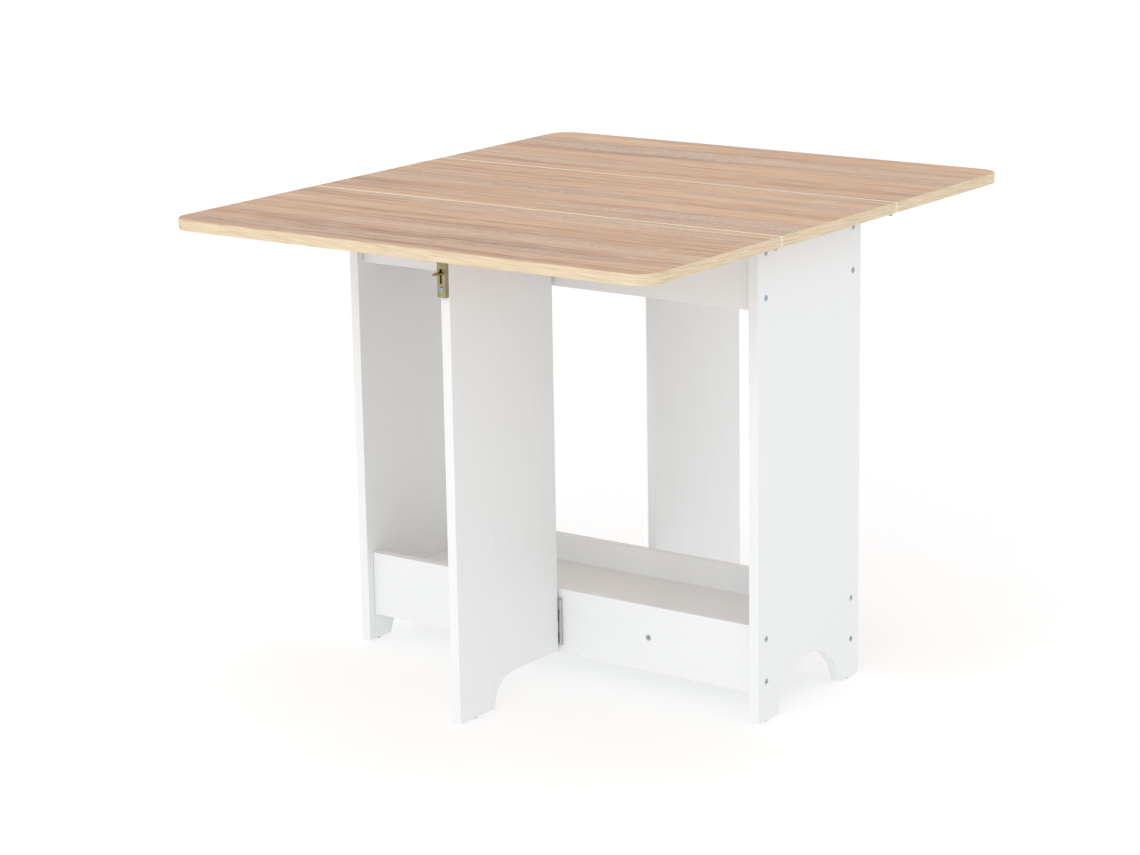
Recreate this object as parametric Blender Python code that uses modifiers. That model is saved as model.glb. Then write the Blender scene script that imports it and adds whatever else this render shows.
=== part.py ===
"""Gateleg table: a fixed centre board on a four-rail base, two hinged leaves, and two swinging gates that carry them.

Metres, +Z up. The origin is on the floor under the middle of the top. X runs along the rails and Y towards the
leaves: the front gate and front leaf point to -Y. The back gate and leaf are the front ones turned half a turn.
"""

import math

import bmesh
import bpy
from mathutils import Matrix, Vector

# Overall
TABLE_HEIGHT = 0.745
BASE_WIDTH = 0.758          # over the outer faces of the end panels
PANEL_DEPTH = 0.290         # of an end panel, front to back
SIDE_OVERHANG = 0.051       # of the top, past an end panel
CENTRE_OVERHANG = 0.017     # of the centre board, past the end panels' edges
LEAF_DEPTH = 0.337
TOP_THICKNESS = 0.016
BOARD_THICKNESS = 0.016     # of the panels, rails, shelf and gates
TOP_CORNER_RADIUS = 0.038
SEAM_GAP = 0.001            # between the centre board and a leaf
EDGE_ROUNDING = 0.0006      # of a banded board edge

# Base
RAIL_HEIGHT = 0.104
RAIL_SETBACK = 0.0145       # of a rail's face, behind the end panels' edges
LOWER_RAIL_LIFT = 0.0445    # of a lower rail, above the floor
TRAY_DEPTH = 0.0425         # from a lower rail's top down to the shelf
FOOT_LENGTH = 0.055         # of each end panel foot, beside the arch
ARCH_HEIGHT = 0.071

# Gates
GATE_WIDTH = 0.250
GATE_FOOT_LENGTH = 0.086
GATE_RISE = 0.047           # of the gate's lower edge, above its foot
GATE_CURVE_RADIUS = 0.045   # where the foot meets the lower edge
GATE_TOP_GAP = 0.002        # from the gate's top up to the leaf

# Butt hinges, all of one kind
HINGE_LENGTH = 0.072
HINGE_LEAF_REACH = 0.0162   # from the pin's axis to a leaf's free edge
HINGE_METAL = 0.0015
BARREL_RADIUS = 0.0026
PIN_RADIUS = 0.0014
PIN_HEAD_RADIUS = 0.0024
PIN_HEAD_HEIGHT = 0.0016
KNUCKLES = 4
KNUCKLE_GAP = 0.0004
LEAF_HINGE_INSET = 0.008    # from the top's side edge to a leaf hinge's end
HINGE_SCREW_HOLE_RADIUS = 0.0018

# Gate latches
LATCH_WIDTH = 0.014
LATCH_DEPTH = 0.009
LATCH_HEIGHT = 0.075
LATCH_METAL = 0.0012
BOLT_PLAY = 0.0018          # round the bolt in its case
BOLT_LENGTH = 0.0425
BOLT_TOP_GAP = 0.001        # from the bolt's tip up to the leaf, unlatched
BOLT_LIFT = 0.0045          # from there into the leaf
BOLT_DROP = 0.014           # from there down, held back
TAB_NECK_WIDTH = 0.0036     # in the case's slot
TAB_WIDTH = 0.008           # in front of the case
TAB_THICKNESS = 0.0022
TAB_REACH = 0.018
TAB_BELOW_TIP = 0.040
SOCKET_DEPTH = 0.0065       # of the hole in the leaf that takes the bolt

# Fasteners and feet
SCREW_LENGTH = 0.050
SCREW_HEAD_RADIUS = 0.0046
SCREW_SHOULDER_RADIUS = 0.0035
SCREW_THREAD_RADIUS = 0.0026
SCREW_HEAD_HEIGHT = 0.003
SCREW_SHOULDER_LENGTH = 0.016
SCREW_TIP_LENGTH = 0.003
RAIL_SCREW_SPACING = 0.066  # of the two screws in a rail's end
SHELF_SCREW_OFFSET = 0.173  # of a shelf screw, from the middle of a rail
RECESS_ARM = 0.0028
RECESS_WIDTH = 0.0011
RECESS_DEPTH = 0.0018
GLIDE_RADIUS = 0.0055
GLIDE_HEIGHT = 0.003
NAIL_RADIUS = 0.0011
NAIL_LENGTH = 0.012

# Clearances
JOINT_GAP = 0.0003          # between pieces that touch
SLIDE_GAP = 0.0005          # round a piece that slides
CUT_MARGIN = 0.002          # of a cutter, past the surface that it opens

# Places worked out from the sizes
TABLE_WIDTH = BASE_WIDTH + 2 * SIDE_OVERHANG
CENTRE_DEPTH = PANEL_DEPTH + 2 * CENTRE_OVERHANG
UNDERSIDE = TABLE_HEIGHT - TOP_THICKNESS
PANEL_TOP = UNDERSIDE - JOINT_GAP
PANEL_FOOT = GLIDE_HEIGHT
PANEL_X = BASE_WIDTH / 2 - BOARD_THICKNESS / 2
RAIL_HALF_LENGTH = BASE_WIDTH / 2 - BOARD_THICKNESS - JOINT_GAP
RAIL_FACE = PANEL_DEPTH / 2 - RAIL_SETBACK
RAIL_Y = RAIL_FACE - BOARD_THICKNESS / 2
LOWER_RAIL_Z = LOWER_RAIL_LIFT + RAIL_HEIGHT / 2
UPPER_RAIL_Z = PANEL_TOP - RAIL_HEIGHT / 2
SHELF_TOP = LOWER_RAIL_LIFT + RAIL_HEIGHT - TRAY_DEPTH
SHELF_HALF_DEPTH = RAIL_FACE - BOARD_THICKNESS - JOINT_GAP
PIN_STANDOFF = BARREL_RADIUS + JOINT_GAP
GATE_PIN_X = BOARD_THICKNESS / 2 + PIN_STANDOFF
GATE_PIN_Y = RAIL_FACE + PIN_STANDOFF
GATE_TOP = UNDERSIDE - GATE_TOP_GAP
LEAF_PIN_Y = CENTRE_DEPTH / 2 + SEAM_GAP / 2
LEAF_PIN_Z = UNDERSIDE - PIN_STANDOFF
LEAF_HINGE_X = TABLE_WIDTH / 2 - LEAF_HINGE_INSET - HINGE_LENGTH / 2
LATCH_TOP = GATE_TOP
BOLT_WIDTH = LATCH_WIDTH - 2 * (LATCH_METAL + BOLT_PLAY)
BOLT_DEPTH = LATCH_DEPTH - LATCH_METAL - 2 * BOLT_PLAY
BOLT_TIP = UNDERSIDE - BOLT_TOP_GAP

SIDES = {"front": 0.0, "back": math.pi}
ROUND_STEPS = 16
SMALL_STEPS = 12
ARC_STEPS = 20


def clear_scene():
    for old in list(bpy.data.objects):
        bpy.data.objects.remove(old)


def new_collection(name):
    made = bpy.data.collections.new(name)
    bpy.context.scene.collection.children.link(made)
    return made


def make_material(name, colour, roughness, metallic=0.0):
    made = bpy.data.materials.new(name)
    made.use_nodes = True
    shader = made.node_tree.nodes["Principled BSDF"]
    shader.inputs["Base Color"].default_value = (*colour, 1.0)
    shader.inputs["Roughness"].default_value = roughness
    shader.inputs["Metallic"].default_value = metallic
    return made


def object_from(name, mesh, collection):
    made = bpy.data.objects.new(name, mesh)
    collection.objects.link(made)
    return made


def evaluated_mesh(source):
    """The mesh of an object with its modifiers applied and its doubles merged. The object is removed."""
    graph = bpy.context.evaluated_depsgraph_get()
    mesh = bpy.data.meshes.new_from_object(source.evaluated_get(graph))
    bpy.data.objects.remove(source)
    shape = bmesh.new()
    shape.from_mesh(mesh)
    bmesh.ops.remove_doubles(shape, verts=shape.verts, dist=1e-6)
    bmesh.ops.recalc_face_normals(shape, faces=shape.faces)
    shape.to_mesh(mesh)
    shape.free()
    return mesh


def box_mesh(low, high):
    """A box between two corners."""
    low, high = Vector(low), Vector(high)
    shape = bmesh.new()
    size = Matrix.Diagonal((high - low).to_4d())
    bmesh.ops.create_cube(shape, size=1.0, matrix=Matrix.Translation((low + high) / 2) @ size)
    mesh = bpy.data.meshes.new("box")
    shape.to_mesh(mesh)
    shape.free()
    return mesh


def plate_mesh(outline, thickness, rounding=0.0):
    """A flat outline in XY, thickened evenly about Z = 0."""
    curve = bpy.data.curves.new("outline", "CURVE")
    curve.dimensions = "2D"
    curve.fill_mode = "BOTH"
    curve.extrude = thickness / 2
    spline = curve.splines.new("POLY")
    spline.points.add(len(outline) - 1)
    for point, (x, y) in zip(spline.points, outline):
        point.co = (x, y, 0.0, 1.0)
    spline.use_cyclic_u = True
    mesh = evaluated_mesh(object_from("outline", curve, cutters))
    if rounding:
        rounded = object_from("rounded", mesh, cutters)
        add_bevel(rounded, rounding)
        mesh = evaluated_mesh(rounded)
    return mesh


def turned_mesh(profile, steps):
    """A solid turned about Z from (radius, height) points that run from its top to its bottom, axis to axis."""
    mesh = bpy.data.meshes.new("profile")
    mesh.from_pydata([(radius, 0.0, height) for radius, height in profile],
                     [(i, i + 1) for i in range(len(profile) - 1)], [])
    turned = object_from("turned", mesh, cutters)
    screw = turned.modifiers.new("Turn", "SCREW")
    screw.steps = steps
    screw.render_steps = steps
    screw.use_merge_vertices = True
    screw.merge_threshold = 1e-5
    return evaluated_mesh(turned)


def cylinder_mesh(radius, low, high, steps=ROUND_STEPS):
    return turned_mesh([(0.0, high), (radius, high), (radius, low), (0.0, low)], steps)


def arc(centre, radius, start, end, steps):
    """Points along an arc, from one angle in degrees to another."""
    angles = [math.radians(start + (end - start) * i / steps) for i in range(steps + 1)]
    return [(centre[0] + radius * math.cos(a), centre[1] + radius * math.sin(a)) for a in angles]


def add_bevel(target, width, segments=2):
    bevel = target.modifiers.new("Rounded edges", "BEVEL")
    bevel.width = width
    bevel.segments = segments
    bevel.limit_method = "ANGLE"
    bevel.angle_limit = math.radians(40)


def cutter(name, meshes):
    """One hidden cutter from (mesh, matrix) pairs that don't touch each other."""
    shape = bmesh.new()
    for mesh, matrix in meshes:
        piece = mesh.copy()
        piece.transform(matrix)
        shape.from_mesh(piece)
        bpy.data.meshes.remove(piece)
    mesh = bpy.data.meshes.new(name)
    shape.to_mesh(mesh)
    shape.free()
    made = object_from(name, mesh, cutters)
    made.hide_render = True
    made.display_type = "WIRE"
    return made


def boolean(target, other, operation):
    modifier = target.modifiers.new(other.name, "BOOLEAN")
    modifier.operation = operation
    modifier.object = other


def combined_mesh(base, others, operation):
    """The base mesh joined with, or cut by, each of the other meshes in turn."""
    target = object_from("target", base, cutters)
    tools = [object_from("tool", mesh, cutters) for mesh in others]
    for tool in tools:
        boolean(target, tool, operation)
    mesh = evaluated_mesh(target)
    for tool in tools:
        bpy.data.objects.remove(tool)
    return mesh


def add_piece(name, mesh, material, matrix=None, parent=None):
    """One sub-part, placed by its matrix under its parent. Copies may share a mesh."""
    if not mesh.materials:
        mesh.materials.append(material)
    piece = object_from(name, mesh, parts)
    piece.parent = parent
    piece.matrix_local = matrix or Matrix.Identity(4)
    return piece


def add_axis(name, location, turn=0.0):
    """An empty on a joint's axis, which the moving pieces hang from."""
    empty = bpy.data.objects.new(name, None)
    parts.objects.link(empty)
    empty.location = location
    empty.rotation_euler = (0.0, 0.0, turn)
    bpy.context.view_layer.update()
    return empty


def smooth(mesh):
    mesh.shade_smooth()
    mesh.set_sharp_from_angle(angle=math.radians(35))


def at(x, y, z):
    return Matrix.Translation((x, y, z))


def about(axis, degrees):
    return Matrix.Rotation(math.radians(degrees), 4, axis)


# Fasteners: a countersunk confirmat screw, its hole, and a nailed glide ------------------------------------------


def screw_profile(grow=0.0):
    """From the top of the head, at Z = 0, to the tip. grow widens and lengthens it into the hole for it."""
    head = SCREW_HEAD_RADIUS + grow
    shoulder = SCREW_SHOULDER_RADIUS + grow
    thread = SCREW_THREAD_RADIUS + grow
    neck = -SCREW_HEAD_HEIGHT
    step = neck - SCREW_SHOULDER_LENGTH
    end = -SCREW_LENGTH - grow
    top = CUT_MARGIN if grow else 0.0
    return [(0.0, top), (head, top), (head, -0.2 * SCREW_HEAD_HEIGHT), (shoulder, neck), (shoulder, step),
            (thread, step - (shoulder - thread)), (thread, end + SCREW_TIP_LENGTH), (0.0, end)]


def recess_mesh():
    """The cross recess in a screw's head."""
    arm, root, end = RECESS_ARM, RECESS_WIDTH / 2, RECESS_WIDTH / 3
    cross = [(root, root), (end, arm), (-end, arm), (-root, root), (-arm, end), (-arm, -end),
             (-root, -root), (-end, -arm), (end, -arm), (root, -root), (arm, -end), (arm, end)]
    return plate_mesh(cross, 2 * RECESS_DEPTH)


def screw_mesh():
    mesh = combined_mesh(turned_mesh(screw_profile(), SMALL_STEPS), [recess_mesh()], "DIFFERENCE")
    smooth(mesh)
    return mesh


def glide_mesh():
    """A nylon glide with its nail, standing on Z = 0."""
    top = GLIDE_HEIGHT - JOINT_GAP
    tip = GLIDE_HEIGHT + NAIL_LENGTH
    mesh = turned_mesh([(0.0, tip), (NAIL_RADIUS, tip - 2 * NAIL_RADIUS), (NAIL_RADIUS, top), (GLIDE_RADIUS, top),
                        (GLIDE_RADIUS, 0.35 * top), (0.8 * GLIDE_RADIUS, 0.0), (0.0, 0.0)], ROUND_STEPS)
    smooth(mesh)
    return mesh


def nail_hole_mesh():
    """The hole that a glide's nail takes, for a board whose foot stands on the glide."""
    return cylinder_mesh(NAIL_RADIUS + JOINT_GAP, -CUT_MARGIN, GLIDE_HEIGHT + NAIL_LENGTH + JOINT_GAP, SMALL_STEPS)


# Hinges: one half serves every hinge. Its pin lies on Z, its leaf reaches to -X on the +Y side ------------------


def knuckle_span(index):
    """The lower and upper end of a knuckle, counted from the bottom."""
    pitch = HINGE_LENGTH / KNUCKLES
    low = -HINGE_LENGTH / 2 + index * pitch
    return low + KNUCKLE_GAP / 2, low + pitch - KNUCKLE_GAP / 2


def comb_outline():
    """The flat of a hinge half in (x, z), with a tongue at each of its own knuckles."""
    free, root, tongue = -HINGE_LEAF_REACH, -BARREL_RADIUS - KNUCKLE_GAP, -BARREL_RADIUS / 2
    half = HINGE_LENGTH / 2
    points = [(free, -half)]
    for index in range(KNUCKLES):
        low, high = knuckle_span(index)
        if index % 2 == 0:
            points += [(tongue, low), (tongue, high)]
        else:
            points += [(root, low - KNUCKLE_GAP), (root, high + KNUCKLE_GAP)]
    points[1] = (tongue, -half)
    points[-1] = (root, half)
    return [*points, (free, half)]


def hinge_half_mesh(with_pin):
    """A leaf with every other knuckle, bored for a loose pin or joined to a fixed one."""
    middle = BARREL_RADIUS - HINGE_METAL / 2 - 0.1 * HINGE_METAL
    upright = at(0.0, middle, 0.0) @ about("X", 90)
    comb = plate_mesh(comb_outline(), HINGE_METAL)
    comb.transform(upright)
    own = [knuckle_span(index) for index in range(0, KNUCKLES, 2)]
    barrels = [cylinder_mesh(BARREL_RADIUS, low, high) for low, high in own]
    holes = []
    for height in (-HINGE_LENGTH / 3, HINGE_LENGTH / 3):
        hole = cylinder_mesh(HINGE_SCREW_HOLE_RADIUS, -CUT_MARGIN, CUT_MARGIN, SMALL_STEPS)
        hole.transform(at((-HINGE_LEAF_REACH - BARREL_RADIUS) / 2, middle, height) @ about("X", 90))
        holes.append(hole)
    half = HINGE_LENGTH / 2
    if with_pin:
        barrels.append(cylinder_mesh(PIN_RADIUS, -half, half, SMALL_STEPS))
    else:
        holes.append(cylinder_mesh(PIN_RADIUS + JOINT_GAP, -half - CUT_MARGIN, half + CUT_MARGIN, SMALL_STEPS))
    if with_pin:
        bored = combined_mesh(comb, holes, "DIFFERENCE")
        mesh = combined_mesh(bored, barrels, "UNION")
    else:
        mesh = combined_mesh(combined_mesh(comb, barrels, "UNION"), holes, "DIFFERENCE")
    smooth(mesh)
    return mesh


def hinge_pin_mesh():
    """A loose pin with a round head at each end."""
    half = HINGE_LENGTH / 2 + JOINT_GAP
    top = half + PIN_HEAD_HEIGHT
    upper = [(0.0, top), (0.7 * PIN_HEAD_RADIUS, top), (PIN_HEAD_RADIUS, half + PIN_HEAD_HEIGHT / 2),
             (PIN_HEAD_RADIUS, half), (PIN_RADIUS, half)]
    lower = [(radius, -height) for radius, height in reversed(upper)]
    mesh = turned_mesh(upper + lower, SMALL_STEPS)
    smooth(mesh)
    return mesh


# The base: end panels, rails, shelf ----------------------------------------------------------------------------


def end_panel_outline():
    """In (y, z): two feet and the arch between them, a circular arc."""
    half = PANEL_DEPTH / 2
    span = half - FOOT_LENGTH
    radius = (span ** 2 + ARCH_HEIGHT ** 2) / (2 * ARCH_HEIGHT)
    centre = (0.0, PANEL_FOOT + ARCH_HEIGHT - radius)
    lean = math.degrees(math.asin((radius - ARCH_HEIGHT) / radius))
    arch = arc(centre, radius, 180 - lean, lean, ARC_STEPS)
    return [(half, PANEL_FOOT), (half, PANEL_TOP), (-half, PANEL_TOP), (-half, PANEL_FOOT), *arch]


def rail_screw_heights(rail_z):
    return [rail_z + offset for offset in (-RAIL_SCREW_SPACING / 2, RAIL_SCREW_SPACING / 2)]


def end_screw_matrices(side):
    """Where an end panel's screws stand, heads outwards. side is -1 for the left panel and 1 for the right."""
    outwards = about("Y", 90 * side)
    places = {}
    for row, y in (("front", -RAIL_Y), ("back", RAIL_Y)):
        for level, rail_z in (("lower", LOWER_RAIL_Z), ("upper", UPPER_RAIL_Z)):
            for number, z in enumerate(rail_screw_heights(rail_z), 1):
                places[f"{row}_{level}_{number}"] = at(side * BASE_WIDTH / 2, y, z) @ outwards
    return places


def shelf_screw_matrices(row):
    """Where the screws stand that hold the shelf between the lower rails. row is -1 for the front rail."""
    z = SHELF_TOP - BOARD_THICKNESS / 2
    facing = about("X", -90 * row)
    return [at(x, row * RAIL_FACE, z) @ facing for x in (-SHELF_SCREW_OFFSET, SHELF_SCREW_OFFSET)]


def make_end_panels(white):
    mesh = plate_mesh(end_panel_outline(), BOARD_THICKNESS, EDGE_ROUNDING)
    mesh.transform(about("Z", 90) @ about("X", 90))
    foot_y = PANEL_DEPTH / 2 - FOOT_LENGTH / 2
    for name, side in (("left", -1), ("right", 1)):
        panel = add_piece(f"{name}_end_panel", mesh.copy(), white, at(side * PANEL_X, 0.0, 0.0))
        holes = [(hole, matrix) for matrix in end_screw_matrices(side).values()]
        nails = [(nail, at(side * PANEL_X, y, 0.0)) for y in (-foot_y, foot_y)]
        boolean(panel, cutter(f"{name}_panel_holes", holes + nails), "DIFFERENCE")
        for place, y in (("front", -foot_y), ("back", foot_y)):
            add_piece(f"{name}_{place}_glide", glide, nylon, at(side * PANEL_X, y, 0.0))
        for place, matrix in end_screw_matrices(side).items():
            add_piece(f"{name}_{place}_screw", screw, zinc, matrix)


def make_rails(white):
    for row, y in (("front", -RAIL_Y), ("back", RAIL_Y)):
        sign = -1 if row == "front" else 1
        for level, z in (("lower", LOWER_RAIL_Z), ("upper", UPPER_RAIL_Z)):
            low = (-RAIL_HALF_LENGTH, y - BOARD_THICKNESS / 2, z - RAIL_HEIGHT / 2)
            high = (RAIL_HALF_LENGTH, y + BOARD_THICKNESS / 2, z + RAIL_HEIGHT / 2)
            rail = add_piece(f"{row}_{level}_rail", box_mesh(low, high), white)
            add_bevel(rail, EDGE_ROUNDING)
            holes = [(hole, matrix) for side in (-1, 1)
                     for place, matrix in end_screw_matrices(side).items() if f"{row}_{level}" in place]
            if level == "lower":
                holes += [(hole, matrix) for matrix in shelf_screw_matrices(sign)]
            boolean(rail, cutter(f"{row}_{level}_rail_holes", holes), "DIFFERENCE")


def make_shelf(white):
    low = (-RAIL_HALF_LENGTH, -SHELF_HALF_DEPTH, SHELF_TOP - BOARD_THICKNESS)
    shelf = add_piece("shelf", box_mesh(low, (RAIL_HALF_LENGTH, SHELF_HALF_DEPTH, SHELF_TOP)), white)
    holes = [(hole, matrix) for row in (-1, 1) for matrix in shelf_screw_matrices(row)]
    boolean(shelf, cutter("shelf_holes", holes), "DIFFERENCE")
    for name, matrix in zip(("left", "right"), shelf_screw_matrices(-1)):
        add_piece(f"shelf_{name}_screw", screw, zinc, matrix)


# The top: a centre board and two leaves on butt hinges ---------------------------------------------------------


def leaf_outline():
    """In (x, y) from the hinge pin's axis, with the outer corners rounded."""
    half, inner = TABLE_WIDTH / 2, -SEAM_GAP / 2
    outer, radius = inner - LEAF_DEPTH, TOP_CORNER_RADIUS
    left = arc((radius - half, outer + radius), radius, 180, 270, ARC_STEPS // 2)
    right = arc((half - radius, outer + radius), radius, 270, 360, ARC_STEPS // 2)
    return [(half, inner), (-half, inner), *left, *right]


def make_top(oak):
    low = (-TABLE_WIDTH / 2, -CENTRE_DEPTH / 2, UNDERSIDE)
    centre = add_piece("centre_top", box_mesh(low, (TABLE_WIDTH / 2, CENTRE_DEPTH / 2, TABLE_HEIGHT)), oak)
    add_bevel(centre, EDGE_ROUNDING)
    leaf = plate_mesh(leaf_outline(), TOP_THICKNESS, EDGE_ROUNDING)
    leaf.transform(at(0.0, 0.0, PIN_STANDOFF + TOP_THICKNESS / 2))
    for side, turn in SIDES.items():
        back_or_front = Matrix.Rotation(turn, 4, "Z")
        axis = add_axis(f"{side}_leaf_axis", back_or_front @ Vector((0.0, -LEAF_PIN_Y, LEAF_PIN_Z)), turn)
        board = add_piece(f"{side}_leaf", leaf.copy(), oak, parent=axis)
        boolean(board, cutter(f"{side}_leaf_socket", [(socket_mesh(), back_or_front)]), "DIFFERENCE")
        for name, x in (("left", -LEAF_HINGE_X), ("right", LEAF_HINGE_X)):
            add_piece(f"{side}_leaf_{name}_hinge_outer", hinge_half, zinc, at(x, 0.0, 0.0) @ flat_hinge(-1), axis)
            fixed = back_or_front @ at(x, -LEAF_PIN_Y, LEAF_PIN_Z) @ flat_hinge(1)
            add_piece(f"{side}_leaf_{name}_hinge_inner", pinned_half, zinc, fixed)


def flat_hinge(towards):
    """Turns a hinge half so that its pin lies on X and its leaf reaches to +Y (1) or -Y (-1), along the top."""
    return Matrix(((0, 0, -towards, 0), (-towards, 0, 0, 0), (0, 1, 0, 0), (0, 0, 0, 1)))


def socket_mesh():
    """The hole in a leaf's underside that takes the latch's bolt, in world place for the front leaf."""
    width, depth = BOLT_WIDTH / 2 + 2 * SLIDE_GAP, BOLT_DEPTH / 2 + 2 * SLIDE_GAP
    y = -GATE_PIN_Y + bolt_y()
    return box_mesh((-width, y - depth, UNDERSIDE - CUT_MARGIN), (width, y + depth, UNDERSIDE + SOCKET_DEPTH))


# The gates: board, hinges, glide and latch, in a frame whose origin is on the pin's axis at floor level --------


def gate_outline():
    """In (y, z): a foot at the free end, a curve up to the raised lower edge, and the hinged edge."""
    near, foot = -PIN_STANDOFF, PANEL_FOOT
    far = near - GATE_WIDTH
    inside = far + GATE_FOOT_LENGTH
    corner = (inside + GATE_CURVE_RADIUS, foot + GATE_RISE - GATE_CURVE_RADIUS)
    curve = arc(corner, GATE_CURVE_RADIUS, 180, 90, ARC_STEPS // 2)
    return [(near, GATE_TOP), (far, GATE_TOP), (far, foot), (inside, foot), *curve, (near, foot + GATE_RISE)]


def latch_face():
    """How far out the gate's free edge is from its pin."""
    return -PIN_STANDOFF - GATE_WIDTH


def bolt_y():
    """The middle of the bolt, between the gate's edge and the inside of the case."""
    return latch_face() - (LATCH_DEPTH - LATCH_METAL) / 2


def latch_case_mesh():
    """A channel on the gate's free edge, open towards it, with a slot for the bolt's tab."""
    near = latch_face() - JOINT_GAP
    far = latch_face() - LATCH_DEPTH
    middle, half = -GATE_PIN_X, LATCH_WIDTH / 2
    top, bottom = LATCH_TOP, LATCH_TOP - LATCH_HEIGHT
    outside = box_mesh((middle - half, far, bottom), (middle + half, near, top))
    inside = box_mesh((middle - half + LATCH_METAL, far + LATCH_METAL, bottom - CUT_MARGIN),
                      (middle + half - LATCH_METAL, near + CUT_MARGIN, top + CUT_MARGIN))
    tab_z = BOLT_TIP - TAB_BELOW_TIP
    reach = TAB_NECK_WIDTH / 2 + SLIDE_GAP
    slot = box_mesh((middle - reach, far - CUT_MARGIN, tab_z - TAB_THICKNESS / 2 - BOLT_DROP - SLIDE_GAP),
                    (middle + reach, far + 2 * CUT_MARGIN, tab_z + TAB_THICKNESS / 2 + BOLT_LIFT + SLIDE_GAP))
    return combined_mesh(outside, [inside, slot], "DIFFERENCE")


def bolt_mesh():
    """The sliding bar with its finger tab, which comes out through the slot."""
    middle, y = -GATE_PIN_X, bolt_y()
    bar = box_mesh((middle - BOLT_WIDTH / 2, y - BOLT_DEPTH / 2, BOLT_TIP - BOLT_LENGTH),
                   (middle + BOLT_WIDTH / 2, y + BOLT_DEPTH / 2, BOLT_TIP))
    tab_z = BOLT_TIP - TAB_BELOW_TIP
    front, out, half, thick = latch_face() - LATCH_DEPTH, TAB_REACH, TAB_WIDTH / 2, TAB_THICKNESS
    shoulder = front - JOINT_GAP
    outline = [(half, shoulder), (half, shoulder - 0.6 * out), (0.4 * half, front - out),
               (-0.4 * half, front - out), (-half, shoulder - 0.6 * out), (-half, shoulder)]
    neck = [(-TAB_NECK_WIDTH / 2, shoulder), (-TAB_NECK_WIDTH / 2, y), (TAB_NECK_WIDTH / 2, y),
            (TAB_NECK_WIDTH / 2, shoulder)]
    tab = plate_mesh([*outline, *neck], thick)
    tab.transform(at(middle, 0.0, tab_z))
    return combined_mesh(bar, [tab], "UNION")


def make_gates(white):
    board = plate_mesh(gate_outline(), BOARD_THICKNESS, EDGE_ROUNDING)
    board.transform(at(-GATE_PIN_X, 0.0, 0.0) @ about("Z", 90) @ about("X", 90))
    case, bolt = latch_case_mesh(), bolt_mesh()
    foot_y = latch_face() + GATE_FOOT_LENGTH / 2
    turned_over = about("X", 180)
    for side, turn in SIDES.items():
        place = Matrix.Rotation(turn, 4, "Z") @ Vector((GATE_PIN_X, -GATE_PIN_Y, 0.0))
        axis = add_axis(f"{side}_gate_axis", place, turn)
        gate = add_piece(f"{side}_gate", board.copy(), white, parent=axis)
        nail_place = axis.matrix_world @ at(-GATE_PIN_X, foot_y, 0.0)
        boolean(gate, cutter(f"{side}_gate_nail_hole", [(nail, nail_place)]), "DIFFERENCE")
        add_piece(f"{side}_gate_glide", glide, nylon, at(-GATE_PIN_X, foot_y, 0.0), axis)
        add_piece(f"{side}_latch_case", case, brass_zinc, parent=axis)
        add_piece(f"{side}_latch_bolt", bolt, brass_zinc, parent=axis)
        for level, z in (("lower", LOWER_RAIL_Z), ("upper", UPPER_RAIL_Z)):
            fixed = axis.matrix_world @ at(0.0, 0.0, z)
            add_piece(f"{side}_{level}_hinge_rail_half", hinge_half, zinc, fixed)
            add_piece(f"{side}_{level}_hinge_gate_half", hinge_half, zinc, at(0.0, 0.0, z) @ turned_over, axis)
            add_piece(f"{side}_{level}_hinge_pin", hinge_pin, zinc, fixed)


clear_scene()
parts = new_collection("gateleg_table")
cutters = new_collection("cutters")

white_board = make_material("white_laminate", (0.86, 0.86, 0.85), 0.45)
oak_board = make_material("oak_laminate", (0.62, 0.43, 0.31), 0.5)
zinc = make_material("zinc_steel", (0.62, 0.64, 0.66), 0.35, 1.0)
brass_zinc = make_material("yellow_zinc_steel", (0.62, 0.55, 0.36), 0.35, 1.0)
nylon = make_material("grey_nylon", (0.45, 0.45, 0.45), 0.6)

screw = screw_mesh()
hole = turned_mesh(screw_profile(JOINT_GAP), SMALL_STEPS)
glide = glide_mesh()
nail = nail_hole_mesh()
hinge_half = hinge_half_mesh(with_pin=False)
pinned_half = hinge_half_mesh(with_pin=True)
hinge_pin = hinge_pin_mesh()

make_end_panels(white_board)
make_rails(white_board)
make_shelf(white_board)
make_top(oak_board)
make_gates(white_board)
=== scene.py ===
"""Gateleg table, opened: white base and gates under a pale oak-pattern top with two raised leaves.

Metres, +Z up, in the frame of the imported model: X runs along the rails, and the front gate points to -Y.
"""

import math

import bmesh
import bpy
from mathutils import Matrix, Vector


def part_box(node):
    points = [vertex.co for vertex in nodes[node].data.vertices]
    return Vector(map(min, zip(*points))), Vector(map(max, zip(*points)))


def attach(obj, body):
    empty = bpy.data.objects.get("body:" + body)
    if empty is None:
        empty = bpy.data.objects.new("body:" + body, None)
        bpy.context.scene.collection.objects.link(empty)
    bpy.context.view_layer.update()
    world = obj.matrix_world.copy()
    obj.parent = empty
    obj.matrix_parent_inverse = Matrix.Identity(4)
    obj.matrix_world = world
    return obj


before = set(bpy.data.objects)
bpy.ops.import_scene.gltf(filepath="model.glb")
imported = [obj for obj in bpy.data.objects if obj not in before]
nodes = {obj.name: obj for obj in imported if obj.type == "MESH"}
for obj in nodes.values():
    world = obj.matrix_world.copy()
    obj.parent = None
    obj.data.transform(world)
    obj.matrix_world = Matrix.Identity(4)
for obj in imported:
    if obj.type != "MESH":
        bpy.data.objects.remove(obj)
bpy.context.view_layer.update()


# The studio: a plain pale floor, white light from all round, and one large soft source ahead of the table.
# The camera stands ahead and to the right, a little over the top.
scene = bpy.context.scene
scene.view_settings.view_transform = "Standard"
scene.view_settings.look = "None"

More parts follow.
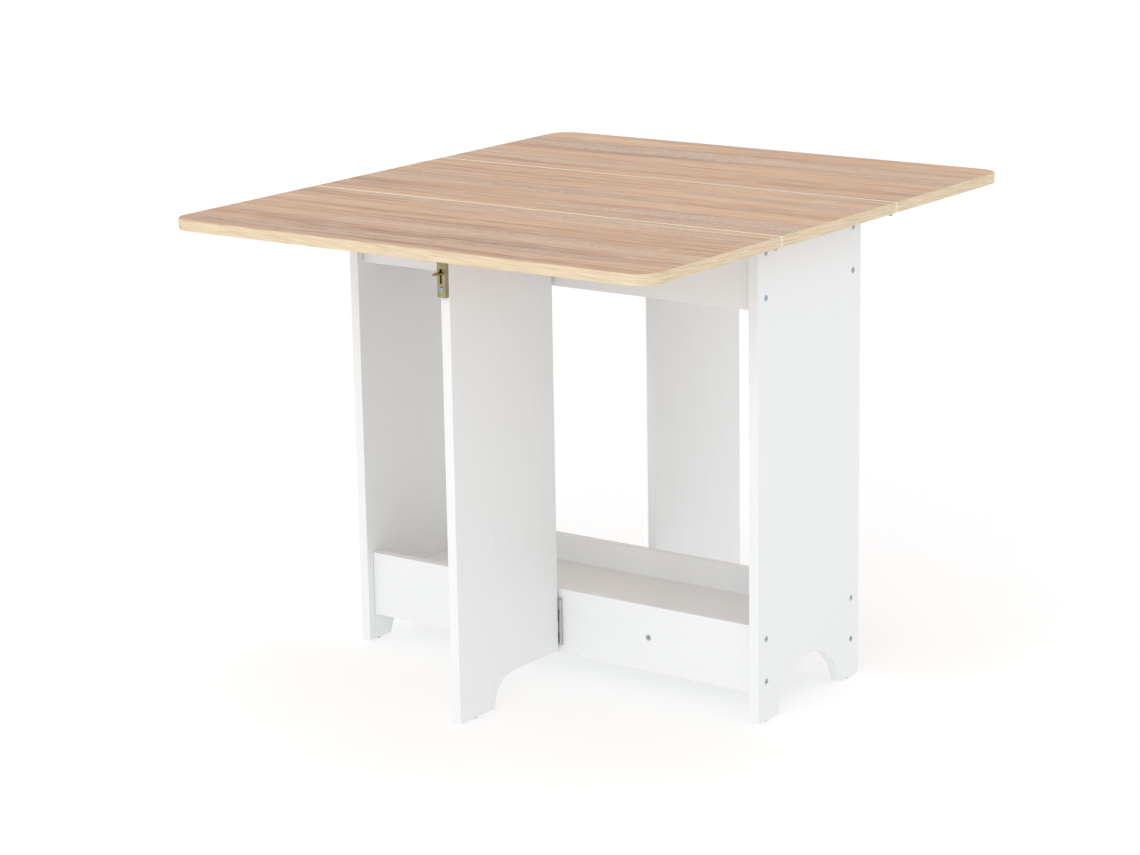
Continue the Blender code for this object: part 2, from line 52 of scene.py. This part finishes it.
camera_data = bpy.data.cameras.new("camera")
camera_data.sensor_width = 36.0
camera_data.lens = 96.76
camera_data.clip_end = 100.0
camera = bpy.data.objects.new("camera", camera_data)
scene.collection.objects.link(camera)
CAMERA_PLACE = (2.6780, -3.7899, 1.5338)
CAMERA_YAW, CAMERA_DOWN, CAMERA_ROLL = 35.86, 14.00, -0.96
camera_turn = (Matrix.Rotation(math.radians(CAMERA_YAW), 4, "Z")
               @ Matrix.Rotation(math.radians(90 - CAMERA_DOWN), 4, "X")
               @ Matrix.Rotation(math.radians(CAMERA_ROLL), 4, "Z"))
camera.matrix_world = Matrix.Translation(CAMERA_PLACE) @ camera_turn
scene.camera = camera

world = bpy.data.worlds.new("studio")
world.use_nodes = True
sky = world.node_tree.nodes["Background"]
sky.inputs["Color"].default_value = (1.0, 1.0, 1.0, 1.0)
sky.inputs["Strength"].default_value = 0.90
scene.world = world


def soft_light(name, place, target, size, energy):
    data = bpy.data.lights.new(name, "AREA")
    data.shape = "RECTANGLE"
    data.size, data.size_y = size
    data.energy = energy
    light = bpy.data.objects.new(name, data)
    scene.collection.objects.link(light)
    light.location = place
    light.rotation_euler = (Vector(target) - Vector(place)).to_track_quat("-Z", "Y").to_euler()


soft_light("front_softbox", (0.9, -4.6, 2.7), (0.0, 0.0, 0.3), (4.0, 2.2), 50.0)

bpy.ops.object.select_all(action="DESELECT")
bpy.ops.mesh.primitive_plane_add(size=60.0, location=(0.0, 0.0, 0.0))
floor = bpy.context.object
floor.name = "studio_floor"
floor_paint = bpy.data.materials.new("floor_paint")
floor_paint.use_nodes = True
floor_shader = floor_paint.node_tree.nodes["Principled BSDF"]
floor_shader.inputs["Base Color"].default_value = (0.60, 0.60, 0.60, 1.0)
floor_shader.inputs["Emission Color"].default_value = (1.0, 1.0, 1.0, 1.0)
floor_shader.inputs["Emission Strength"].default_value = 0.46
floor_shader.inputs["Roughness"].default_value = 0.9
floor_shader.inputs["Specular IOR Level"].default_value = 0.1
floor.data.materials.append(floor_paint)


# The top: three 16 mm particleboards faced with oak-pattern melamine, the grain along the seams. Each is
# banded all round with a strip of paler oak, about 1 mm thick at the outline and a little more at the seams.
TOP_HALF_X, TOP_HALF_Y = 0.430, 0.500
TOP_CORNER = 0.038
SEAM_Y, SEAM_HALF_GAP = 0.1625, 0.0005
BAND, SEAM_BAND = 0.0011, 0.0017
WAVER = 0.035               # how far the streaks wander across the grain
BAND_SLANT = 0.06           # rise of the banding's flecks along the edge
# Each place on the top with a flat-sawn figure, and how many times it is squeezed along and across the grain
FIGURES = (((0.02, -0.02), (1.3, 9.0)), ((0.16, -0.33), (1.1, 8.0)), ((-0.18, 0.36), (1.2, 7.0)))


class Finish:
    """A material's nodes, added in short calls."""

    def __init__(self, name):
        self.material = bpy.data.materials.new(name)
        self.material.use_nodes = True
        self.tree = self.material.node_tree
        self.shader = self.tree.nodes["Principled BSDF"]

    def link(self, source, socket):
        if isinstance(source, bpy.types.NodeSocket):
            self.tree.links.new(source, socket)
        else:
            socket.default_value = source

    def add(self, kind, inputs=(), **settings):
        made = self.tree.nodes.new("ShaderNode" + kind)
        for key, value in settings.items():
            setattr(made, key, value)
        for key, value in dict(inputs).items():
            self.link(value, made.inputs[key])
        return made

    def position(self):
        return self.add("TexCoord").outputs["Object"]

    def mapped(self, vector, scale, location=(0.0, 0.0, 0.0)):
        made = self.add("Mapping", {"Vector": vector, "Scale": scale, "Location": location})
        return made.outputs["Vector"]

    def noise(self, vector, scale=1.0, detail=4.0, roughness=0.55, distortion=0.0):
        made = self.add("TexNoise", {"Vector": vector, "Scale": scale, "Detail": detail,
                                     "Roughness": roughness, "Distortion": distortion})
        return made.outputs["Fac"]

    def maths(self, operation, *values):
        return self.add("Math", dict(enumerate(values)), operation=operation).outputs[0]

    def ramp(self, value, *stops):
        made = self.add("ValToRGB", {"Fac": value})
        elements = made.color_ramp.elements
        while len(elements) < len(stops):
            elements.new(0.5)
        for element, (place, colour) in zip(elements, stops):
            element.position = place
            shades = colour if isinstance(colour, tuple) else (colour, colour, colour)
            element.color = (*shades, 1.0)
        return made.outputs["Color"]

    def mix(self, share, first, second, blend="MIX"):
        made = self.add("Mix", data_type="RGBA", blend_type=blend)
        for value, index in ((share, 0), (first, 6), (second, 7)):
            self.link((*value, 1.0) if isinstance(value, tuple) else value, made.inputs[index])
        return made.outputs[2]

    def bump(self, height, distance, strength=1.0):
        made = self.add("Bump", {"Height": height, "Distance": distance, "Strength": strength})
        self.link(made.outputs["Normal"], self.shader.inputs["Normal"])


def band_mask(oak, where):
    """White on the banding: within a band's thickness of the outline of the whole top, or of a seam."""
    flat = oak.add("SeparateXYZ", {0: where})
    x, y = oak.maths("ABSOLUTE", flat.outputs[0]), oak.maths("ABSOLUTE", flat.outputs[1])
    past_x = oak.maths("SUBTRACT", x, TOP_HALF_X - TOP_CORNER)
    past_y = oak.maths("SUBTRACT", y, TOP_HALF_Y - TOP_CORNER)
    square_x = oak.maths("POWER", oak.maths("MAXIMUM", past_x, 0.0), 2.0)
    square_y = oak.maths("POWER", oak.maths("MAXIMUM", past_y, 0.0), 2.0)
    corner = oak.maths("SQRT", oak.maths("ADD", square_x, square_y))
    inside = oak.maths("MINIMUM", oak.maths("MAXIMUM", past_x, past_y), 0.0)
    to_outline = oak.maths("SUBTRACT", TOP_CORNER, oak.maths("ADD", corner, inside))
    from_seam = oak.maths("ABSOLUTE", oak.maths("SUBTRACT", y, SEAM_Y))
    to_seam = oak.maths("SUBTRACT", from_seam, SEAM_HALF_GAP)
    on_outline = oak.maths("LESS_THAN", to_outline, BAND)
    on_seam = oak.maths("LESS_THAN", to_seam, SEAM_BAND)
    return oak.maths("MAXIMUM", on_outline, on_seam), on_seam


def oak_melamine(name, shift):
    """The facing and the banding in one finish. The shift picks another length of the printed pattern."""
    oak = Finish(name)
    where = oak.position()
    sheet = oak.mapped(where, (1.0, 1.0, 1.0), shift)

    # Long streaks, a little wavy
    waver = oak.noise(oak.mapped(sheet, (1.6, 3.5, 0.0)), detail=2.0)
    sideways = oak.add("CombineXYZ", {1: oak.maths("MULTIPLY", waver, WAVER)}).outputs[0]
    moved = oak.add("VectorMath", {0: sideways, 1: sheet}, operation="ADD").outputs[0]
    broad = oak.noise(oak.mapped(moved, (0.7, 24.0, 0.0)), detail=4.0, roughness=0.62)
    tone = oak.ramp(broad, (0.30, (0.385, 0.225, 0.145)), (0.42, (0.540, 0.330, 0.212)),
                    (0.53, (0.650, 0.405, 0.248)), (0.66, (0.730, 0.480, 0.300)))
    greyed = oak.noise(oak.mapped(moved, (0.9, 15.0, 3.0), (4.0, 2.0, 0.0)), detail=3.0, roughness=0.6)
    tone = oak.mix(oak.ramp(greyed, (0.50, 0.0), (0.66, 0.70)), tone, (0.540, 0.395, 0.300))
    fine = oak.noise(oak.mapped(moved, (2.5, 120.0, 0.0)), detail=5.0, roughness=0.65)
    tone = oak.mix(0.7, tone, oak.ramp(fine, (0.32, 0.30), (0.68, 0.70)), "OVERLAY")

    # Flat-sawn figure: nested pointed arches in a few places
    for centre, squeeze in FIGURES:
        spot = oak.mapped(where, (*squeeze, 0.0), (-centre[0] * squeeze[0], -centre[1] * squeeze[1], 0.0))
        wave = oak.add("TexWave", {"Vector": spot, "Scale": 9.0, "Distortion": 3.5, "Detail": 3.0,
                                   "Detail Scale": 2.0}, wave_type="RINGS", rings_direction="Z")
        rings = wave.outputs["Fac"]
        reach = oak.add("VectorMath", {0: spot}, operation="LENGTH").outputs["Value"]
        near = oak.ramp(reach, (0.06, 1.0), (0.34, 0.0))
        drawn = oak.maths("MULTIPLY", near, oak.ramp(rings, (0.45, 0.0), (0.9, 1.0)))
        share = oak.maths("MULTIPLY", drawn, 0.42)
        tone = oak.mix(share, tone, (0.300, 0.190, 0.128))

    # Dark pores, pale flecks, and the saw marks that cross them in the greyer streaks
    pores = oak.noise(oak.mapped(sheet, (20.0, 520.0, 0.0)), detail=2.0)
    tone = oak.mix(oak.ramp(pores, (0.60, 0.0), (0.70, 0.30)), tone, (0.250, 0.155, 0.105))
    flecks = oak.noise(oak.mapped(sheet, (13.0, 300.0, 0.0), (7.0, 3.0, 0.0)), detail=3.0)
    tone = oak.mix(oak.ramp(flecks, (0.53, 0.0), (0.68, 0.60)), tone, (0.780, 0.640, 0.520))
    saw = oak.noise(oak.mapped(sheet, (190.0, 55.0, 0.0)), detail=1.0)
    sawn = oak.maths("MULTIPLY", oak.ramp(saw, (0.50, 0.0), (0.70, 0.65)),
                     oak.ramp(greyed, (0.50, 0.0), (0.62, 1.0)))
    tone = oak.mix(sawn, tone, (0.680, 0.570, 0.475))

    # The banding: its grain runs round the table, in short slanting flecks
    round_table = oak.add("SeparateXYZ", {0: where})
    along = oak.maths("ADD", round_table.outputs[0], round_table.outputs[1])
    slant = oak.maths("ADD", round_table.outputs[2], oak.maths("MULTIPLY", along, BAND_SLANT))
    strip = oak.add("CombineXYZ", {0: along, 1: slant}).outputs[0]
    grain = oak.noise(oak.mapped(strip, (16.0, 460.0, 0.0)), detail=4.0, roughness=0.7)
    cream = oak.ramp(grain, (0.34, (0.620, 0.475, 0.310)), (0.50, (0.740, 0.600, 0.415)),
                     (0.66, (0.820, 0.690, 0.500)))
    banded, seam = band_mask(oak, where)
    cream = oak.mix(oak.maths("MULTIPLY", seam, 0.9), cream, (0.930, 0.850, 0.700))
    oak.link(oak.mix(banded, tone, cream), oak.shader.inputs["Base Color"])
    sheen = oak.ramp(oak.maths("ADD", oak.maths("MULTIPLY", fine, 0.5), oak.maths("MULTIPLY", pores, 0.5)),
                     (0.35, 0.46), (0.65, 0.60))
    oak.link(sheen, oak.shader.inputs["Roughness"])
    oak.shader.inputs["Specular IOR Level"].default_value = 0.28
    relief = oak.maths("ADD", oak.maths("MULTIPLY", pores, -0.7), oak.maths("MULTIPLY", fine, 0.5))
    oak.bump(relief, 0.00012, 0.6)
    return oak.material


def refinish(names, material):
    for name in names:
        node = nodes[name]
        for place in node.material_slots:
            place.material = material


refinish(["centre_top"], oak_melamine("oak_melamine_centre", (0.0, 0.0, 0.0)))
refinish(["front_leaf"], oak_melamine("oak_melamine_front", (2.3, 0.71, 0.0)))
refinish(["back_leaf"], oak_melamine("oak_melamine_back", (-3.1, 1.37, 0.0)))


# The white boards: 16 mm particleboard faced and banded in white melamine, with a faint embossed grain.
# The grain stands upright on the panels and gates, and runs along the rails and the shelf.
WHITE = (0.855, 0.872, 0.876)
FAINT_LINE = (0.790, 0.806, 0.808)
FAINT_PATCH = (0.815, 0.832, 0.834)


def white_melamine(name, stretch):
    white = Finish(name)
    where = white.position()
    lines = white.noise(white.mapped(where, stretch), detail=5.0, roughness=0.65)
    patches = white.noise(white.mapped(where, (3.0, 3.0, 3.0)), detail=2.0)
    tone = white.mix(white.ramp(lines, (0.42, 0.0), (0.74, 0.34)), WHITE, FAINT_LINE)
    tone = white.mix(white.ramp(patches, (0.4, 0.0), (0.7, 0.10)), tone, FAINT_PATCH)
    white.link(tone, white.shader.inputs["Base Color"])
    white.link(white.ramp(lines, (0.35, 0.40), (0.70, 0.54)), white.shader.inputs["Roughness"])
    white.shader.inputs["Specular IOR Level"].default_value = 0.4
    white.bump(lines, 0.00015, 0.5)
    return white.material


upright = white_melamine("white_melamine_upright", (330.0, 330.0, 9.0))
lengthwise = white_melamine("white_melamine_lengthwise", (9.0, 330.0, 330.0))
refinish(["left_end_panel", "right_end_panel", "front_gate", "back_gate"], upright)
refinish(["shelf"] + [name for name in nodes if name.endswith("_rail")], lengthwise)


# The fasteners that hold the base together: countersunk steel screws with a cross recess, clear zinc plated,
# driven through the end panels into the rails, and through the lower rails into the shelf.


def plated_steel(name, colour, shade, roughness=0.32):
    steel = Finish(name)
    where = steel.position()
    cloud = steel.noise(steel.mapped(where, (90.0, 90.0, 90.0)), detail=4.0)
    tone = steel.mix(steel.ramp(cloud, (0.35, 0.0), (0.68, 1.0)), colour, shade)
    steel.link(tone, steel.shader.inputs["Base Color"])
    steel.shader.inputs["Metallic"].default_value = 1.0
    dulled = steel.ramp(cloud, (0.3, roughness - 0.08), (0.7, roughness + 0.10))
    steel.link(dulled, steel.shader.inputs["Roughness"])
    steel.bump(steel.noise(steel.mapped(where, (700.0, 700.0, 700.0)), detail=3.0), 0.00004, 0.5)
    return steel.material


screw_zinc = plated_steel("zinc_plate_screws", (0.560, 0.600, 0.650), (0.400, 0.440, 0.490))
refinish([name for name in nodes if name.endswith("_screw")], screw_zinc)


def merged_copy(node_name, name, turn):
    """A CAD piece's mesh, its doubles merged, turned into another place in the same frame."""
    copy = bpy.data.objects.new(name, nodes[node_name].data.copy())
    scene.collection.objects.link(copy)
    shape = bmesh.new()
    shape.from_mesh(copy.data)
    bmesh.ops.remove_doubles(shape, verts=shape.verts, dist=1e-6)
    shape.transform(turn)
    shape.to_mesh(copy.data)
    shape.free()
    return copy


for side, twin in (("left", "right"), ("right", "left")):
    screw = merged_copy(f"shelf_{twin}_screw", f"shelf_{side}_back_screw", Matrix.Rotation(math.pi, 4, "Z"))
    screw.data.materials.clear()
    screw.data.materials.append(screw_zinc)
    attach(screw, "base")


# The butt hinges: pressed steel, clear zinc plated, four knuckles on a headed pin. Two hang each gate on its
# rails, and two join each leaf to the centre board. Small countersunk screws fill their holes.
hinge_zinc = plated_steel("zinc_plate_hinges", (0.560, 0.558, 0.540), (0.440, 0.440, 0.425), 0.42)
refinish([name for name in nodes if "hinge" in name], hinge_zinc)


BAR_WIDTH, BAR_TAPER = 0.28, 0.55               # of a cross recess: its bars, and their narrowing downwards
RECESS_WIDTH, RECESS_DEPTH = 1.15, 0.45         # of a screw head's radius
SHANK_TIP = 0.25                                # of the shank's width
DOME_STEPS = ((0.55, 0.90), (0.30, 0.82), (0.15, 0.68))     # rise, and width of what is under it


def cross_driver(size, depth):
    """The cutter for a cross recess: two bars that taper to the bottom of the recess, made one shape."""
    bars = []
    for length, width in ((size, BAR_WIDTH * size), (BAR_WIDTH * size, size)):
        bpy.ops.object.select_all(action="DESELECT")
        bpy.ops.mesh.primitive_cube_add(size=1.0, location=(0.0, 0.0, 0.0))
        bar = bpy.context.object
        bpy.ops.object.mode_set(mode="EDIT")
        bpy.ops.transform.resize(value=(length, width, 2.0 * depth))
        shape = bmesh.from_edit_mesh(bar.data)
        for face in shape.faces:
            face.select = face.normal.z < -0.5
        bmesh.update_edit_mesh(bar.data)
        bpy.ops.transform.resize(value=(BAR_TAPER, BAR_TAPER, 1.0))
        bpy.ops.object.mode_set(mode="OBJECT")
        bars.append(bar)
    join = bars[0].modifiers.new("join", "BOOLEAN")
    join.operation, join.object, join.solver = "UNION", bars[1], "EXACT"
    bpy.context.view_layer.objects.active = bars[0]
    bpy.ops.object.modifier_apply(modifier="join")
    bpy.data.objects.remove(bars[1])
    return bars[0]


def wood_screw(radius, head, dome, shank_radius, shank):
    """One screw standing on its shank, the rim of its head at z = 0: a flat head, or a domed pan head."""
    bpy.ops.object.select_all(action="DESELECT")
    bpy.ops.mesh.primitive_cylinder_add(vertices=32, radius=radius, depth=head, location=(0.0, 0.0, -head / 2))
    screw = bpy.context.object
    bpy.ops.object.transform_apply(location=True, rotation=False, scale=False)
    bpy.ops.object.mode_set(mode="EDIT")
    for side in (1.0, -1.0):
        shape = bmesh.from_edit_mesh(screw.data)
        for face in shape.faces:
            face.select = face.normal.z * side > 0.5
        bmesh.update_edit_mesh(screw.data)
        if side > 0.0 and dome > 0.0:
            for lift, narrowing in DOME_STEPS:
                bpy.ops.mesh.extrude_region_move(TRANSFORM_OT_translate={"value": (0.0, 0.0, lift * dome)})
                bpy.ops.transform.resize(value=(narrowing, narrowing, 1.0))
        if side < 0.0:
            bpy.ops.mesh.inset(thickness=radius - shank_radius)
            bpy.ops.mesh.extrude_region_move(TRANSFORM_OT_translate={"value": (0.0, 0.0, -shank)})
            bpy.ops.transform.resize(value=(SHANK_TIP, SHANK_TIP, 1.0))
    bpy.ops.object.mode_set(mode="OBJECT")
    driver = cross_driver(RECESS_WIDTH * radius, RECESS_DEPTH * radius)
    driver.data.transform(Matrix.Translation((0.0, 0.0, dome)))
    cut = screw.modifiers.new("recess", "BOOLEAN")
    cut.operation, cut.object, cut.solver = "DIFFERENCE", driver, "EXACT"
    bpy.context.view_layer.objects.active = screw
    bpy.ops.object.modifier_apply(modifier="recess")
    bpy.data.objects.remove(driver)
    return screw


def driven(pattern, name, place, out, material, body):
    """A copy of a screw with its own mesh, its head at a place and looking out of the surface there."""
    screw = bpy.data.objects.new(name, pattern.data.copy())
    scene.collection.objects.link(screw)
    facing = Vector(out).to_track_quat("Z", "X").to_matrix().to_4x4()
    screw.data.transform(Matrix.Translation(place) @ facing)
    screw.data.materials.clear()
    screw.data.materials.append(material)
    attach(screw, body)


HOLE_FROM_PIN, HOLE_FROM_MIDDLE = 0.0094, 0.0240
FACE_FROM_PIN = 0.00095                         # of a closed gate hinge's plates, where they look at each other
PLATE_METAL, BARREL_PAST_PLATE = 0.0015, 0.00015
hinge_screw = wood_screw(radius=0.00165, head=0.0010, dome=0.0, shank_radius=0.0010, shank=0.0090)
for end, turned in (("front", 1.0), ("back", -1.0)):
    for level in ("lower", "upper"):
        low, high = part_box(f"{end}_{level}_hinge_pin")
        pin = [(low[axis] + high[axis]) / 2 for axis in range(3)]
        plate_low, plate_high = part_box(f"{end}_{level}_hinge_rail_half")
        middle = (plate_low[2] + plate_high[2]) / 2
        across = pin[0] - turned * HOLE_FROM_PIN
        for part, looks, body in (("rail_half", -1.0, "base"), ("gate_half", 1.0, f"{end}_gate")):
            for number, step in ((1, -1.0), (2, 1.0)):
                place = (across, pin[1] - turned * looks * FACE_FROM_PIN,
                         middle + step * HOLE_FROM_MIDDLE)
                driven(hinge_screw, f"{end}_{level}_hinge_{part}_screw_{number}", place,
                       (0.0, turned * looks, 0.0), screw_zinc, body)
    for hand in ("left", "right"):
        for part, inward, body in (("inner", 1.0, "base"), ("outer", -1.0, f"{end}_leaf")):
            low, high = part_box(f"{end}_leaf_{hand}_hinge_{part}")
            middle = (low[0] + high[0]) / 2
            for number, step in ((1, -1.0), (2, 1.0)):
                place = (middle + step * HOLE_FROM_MIDDLE, -turned * (SEAM_Y - inward * HOLE_FROM_PIN),
                         high[2] - PLATE_METAL - BARREL_PAST_PLATE)
                driven(hinge_screw, f"{end}_leaf_{hand}_hinge_{part}_screw_{number}", place,
                       (0.0, 0.0, -1.0), screw_zinc, body)
bpy.data.objects.remove(hinge_screw)


# The latches: a pressed steel channel on each gate's free edge, yellow zinc plated, with a bolt that slides up
# into the leaf. Its finger tab stands out through the slot, over one pan head screw.
yellow_zinc = plated_steel("yellow_zinc_case", (0.440, 0.370, 0.190), (0.240, 0.255, 0.165), 0.34)
gold_zinc = plated_steel("yellow_zinc_bolt", (0.420, 0.310, 0.070), (0.220, 0.150, 0.030), 0.30)
blue_zinc = plated_steel("blue_zinc_plate", (0.370, 0.560, 0.720), (0.250, 0.400, 0.550), 0.30)
refinish([name for name in nodes if name.endswith("latch_case")], yellow_zinc)
refinish([name for name in nodes if name.endswith("latch_bolt")], gold_zinc)

LATCH_SCREW_HEIGHT = 0.665
RIM_FROM_CASE = 0.0008                          # of the screw head's rim, in front of the case
latch_screw = wood_screw(radius=0.0035, head=0.0010, dome=0.0014, shank_radius=0.0017, shank=0.0120)
for end, turned in (("front", -1.0), ("back", 1.0)):
    low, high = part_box(f"{end}_latch_case")
    web = low[1] if turned < 0.0 else high[1]
    driven(latch_screw, f"{end}_latch_screw", (0.0, web + turned * RIM_FROM_CASE, LATCH_SCREW_HEIGHT),
           (0.0, turned, 0.0), blue_zinc, f"{end}_gate")
bpy.data.objects.remove(latch_screw)


# The glides: grey nylon discs nailed under the feet of the panels and gates.
nylon = Finish("grey_nylon")
nylon_spots = nylon.noise(nylon.mapped(nylon.position(), (900.0, 900.0, 900.0)), detail=2.0)
nylon_tone = nylon.mix(nylon_spots, (0.330, 0.330, 0.325), (0.420, 0.420, 0.415))
nylon.link(nylon_tone, nylon.shader.inputs["Base Color"])
nylon.shader.inputs["Roughness"].default_value = 0.55
nylon.bump(nylon_spots, 0.00005)
refinish([name for name in nodes if name.endswith("_glide")], nylon.material)
